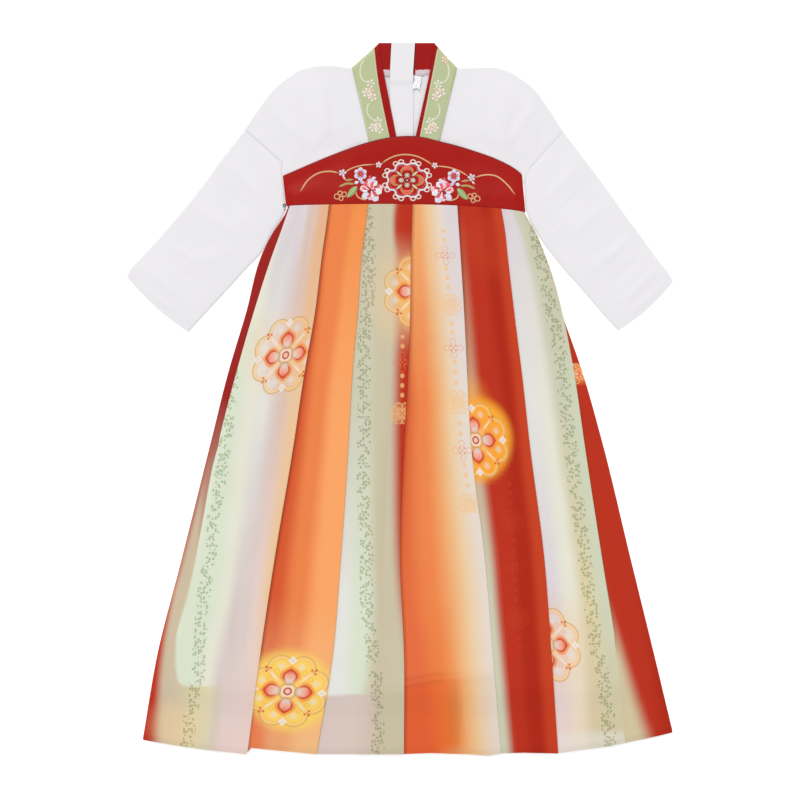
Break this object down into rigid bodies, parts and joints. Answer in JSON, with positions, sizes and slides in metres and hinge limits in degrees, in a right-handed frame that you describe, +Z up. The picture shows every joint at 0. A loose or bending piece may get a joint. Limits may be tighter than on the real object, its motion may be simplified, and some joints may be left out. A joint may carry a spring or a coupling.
{
  "type": "hanfu dress",
  "caption": "Child's chest-high hanfu dress laid flat on its back: plain long-sleeved bodice, open straight collar, embroidered band and a pleated, printed skirt over a short lining.",
  "frame": {"origin": "middle of the laid outline, on the surface that the garment lies on", "axes": "+Z up from the surface through the front of the garment, +Y from the hem to the collar, +X to the right as seen from above"},
  "size_m": [0.71, 0.9243, 0.0129],
  "materials": {
    "white_crepe": "fine matt crepe, slightly crinkled",
    "green_satin": "soft satin with an embroidered vine",
    "red_satin": "soft satin, embroidered on the front band",
    "printed_chiffon": "fine matt chiffon printed in shaded stripes, slightly sheer",
    "lining_white": "plain matt lining cloth",
    "label_white": "blank woven tape"
  },
  "bodies": {
    "root": {"bodice_front_left": "white_crepe", "bodice_front_right": "white_crepe", "bodice_back_left": "white_crepe", "bodice_back_right": "white_crepe", "sleeve_left": "white_crepe", "sleeve_right": "white_crepe", "back_guard": "white_crepe", "collar_left": "green_satin", "collar_right": "green_satin", "collar_back_left": "green_satin", "collar_back_right": "green_satin", "facing_left": "red_satin", "facing_right": "red_satin", "facing_back_left": "red_satin", "facing_back_right": "red_satin", "neck_label": "label_white", "waistband_front": "red_satin", "waistband_back": "red_satin", "skirt_front": "printed_chiffon", "skirt_back": "printed_chiffon", "lining_front": "lining_white", "lining_back": "lining_white"}
  },
  "joints": []
}
